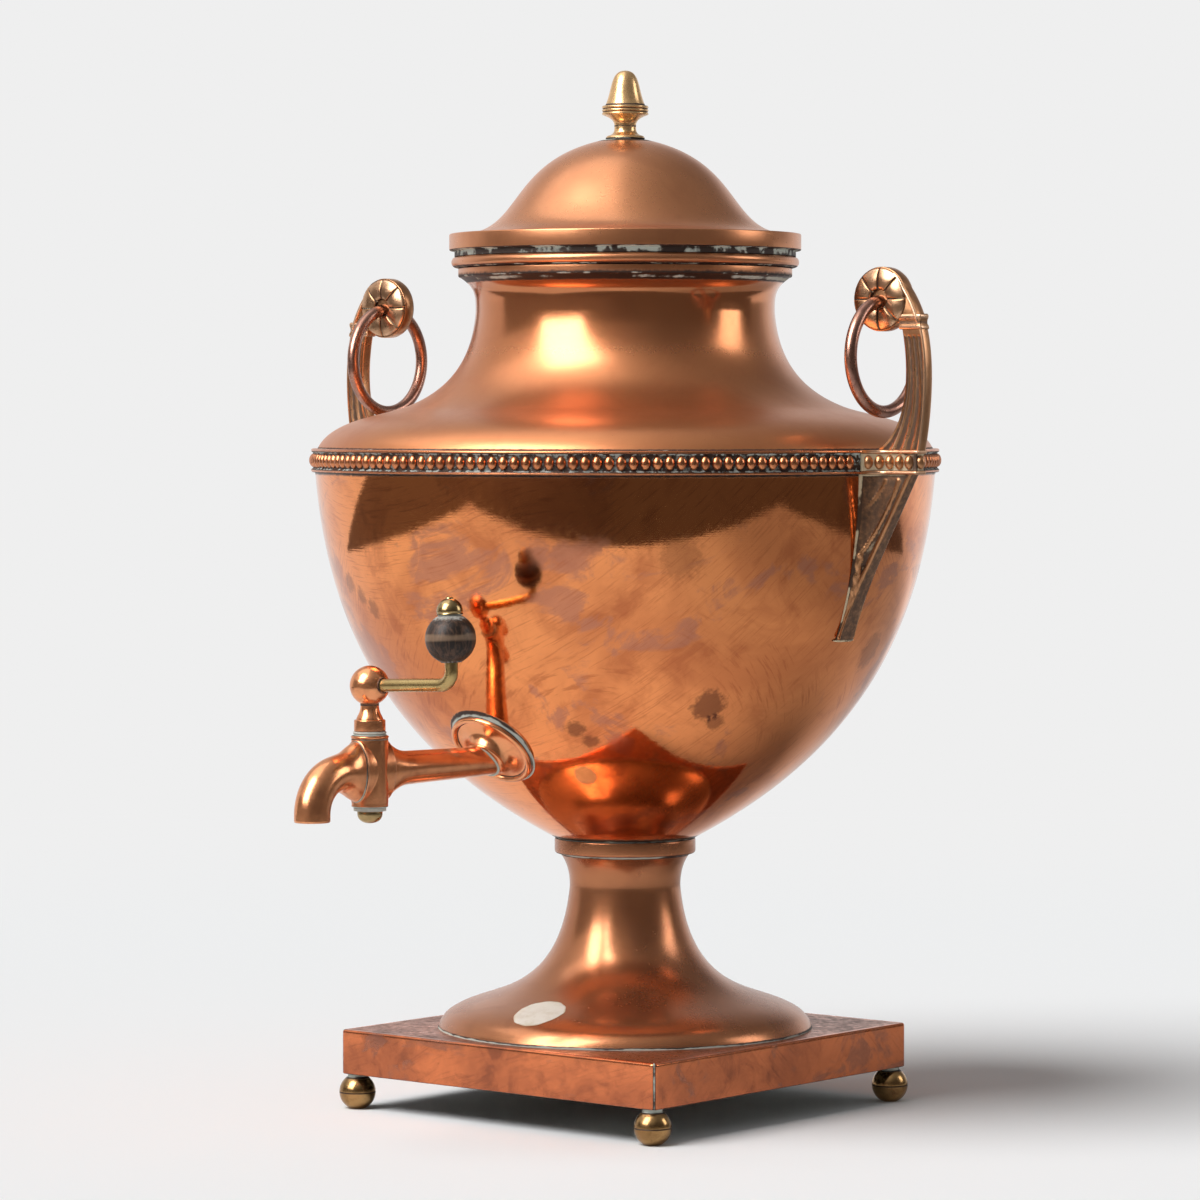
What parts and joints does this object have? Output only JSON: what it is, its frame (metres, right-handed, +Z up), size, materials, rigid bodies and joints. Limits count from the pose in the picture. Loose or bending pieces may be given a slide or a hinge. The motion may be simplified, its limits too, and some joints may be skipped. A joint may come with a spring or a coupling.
{
  "type": "samovar",
  "caption": "Copper hot-water urn on a square plinth with a lift-off domed lid, a turning tap with a wooden grip and two swinging ring handles.",
  "frame": {"origin": "on the urn's axis, in the plane of the feet's undersides", "axes": "+Z up along the urn's axis, the tap points along -Y, the handles stand at +X and -X"},
  "size_m": [0.3244, 0.3436, 0.4499],
  "materials": {
    "bowl_copper": "polished copper with a mottled patina",
    "shoulder_copper": "satin copper with a brown patina",
    "lid_copper": "satin copper with a brown patina",
    "band_copper": "satin copper with dark hollows",
    "foot_copper": "satin copper with a worn brown patina",
    "tap_copper": "satin copper bronze",
    "bracket_bronze": "dull cast bronze",
    "rosette_bronze": "cast bronze with worn golden ridges",
    "ring_copper": "dark brown copper",
    "foot_brass": "worn brass with green deposits",
    "brass_fittings": "polished brass, tarnished",
    "lever_brass": "greenish tarnished brass",
    "screw_brass": "worn brass",
    "grip_wood": "dark polished hardwood",
    "washer_fibre": "grey fibre",
    "heater_iron": "dull cast iron",
    "heater_copper": "dull copper",
    "bolt_iron": "dull iron"
  },
  "bodies": {
    "urn": {"plinth": "foot_copper", "foot_front_right": "foot_brass", "foot_front_left": "foot_brass", "foot_back_right": "foot_brass", "foot_back_left": "foot_brass", "foot_nuts": "brass_fittings", "pedestal": "foot_copper", "collar": "foot_copper", "tie_bolt": "bolt_iron", "tie_nut": "bolt_iron", "bowl": "bowl_copper", "band": "band_copper", "bead_row": "band_copper", "shoulder": "shoulder_copper", "neck": "shoulder_copper", "mouth_ring": "lid_copper", "heater_tube": "heater_iron", "bracket_right": "bracket_bronze", "bracket_left": "bracket_bronze", "rosette_right": "rosette_bronze", "rosette_left": "rosette_bronze", "tap_plate": "tap_copper", "tap_shank": "tap_copper", "tap_barrel": "tap_copper", "tap_spout": "tap_copper"},
    "lid": {"lid_edge": "lid_copper", "lid_dome": "lid_copper", "finial": "brass_fittings", "finial_nut": "brass_fittings"},
    "heater_cap": {"heater_cover": "heater_copper", "heater_knob": "brass_fittings"},
    "tap_key": {"tap_plug": "tap_copper", "gland_washer": "washer_fibre", "lever_rod": "lever_brass", "lever_grip": "grip_wood", "lever_cap": "lever_brass", "plug_washer": "washer_fibre", "plug_screw": "screw_brass"},
    "ring_right": {"ring_right": "ring_copper"},
    "ring_left": {"ring_left": "ring_copper"}
  },
  "joints": [
    {"name": "lid_lift", "type": "slide", "parent": "urn", "child": "lid", "axis": [0, 0, 1], "range_m": [0, 0.16]},
    {"name": "heater_cover_lift", "type": "slide", "parent": "urn", "child": "heater_cap", "axis": [0, 0, 1], "range_m": [0, 0.028]},
    {"name": "tap_turn", "type": "hinge", "parent": "urn", "child": "tap_key", "pos_m": [0, -0.16453, 0.1555], "axis": [0, 0, 1], "range_deg": [-90, 0]},
    {"name": "ring_right_swing", "type": "hinge", "parent": "urn", "child": "ring_right", "pos_m": [0.1391, 0, 0.34825], "axis": [0, 1, 0], "range_deg": [-9, 80]},
    {"name": "ring_left_swing", "type": "hinge", "parent": "urn", "child": "ring_left", "pos_m": [-0.1391, 0, 0.34825], "axis": [0, -1, 0], "range_deg": [-9, 80]}
  ]
}
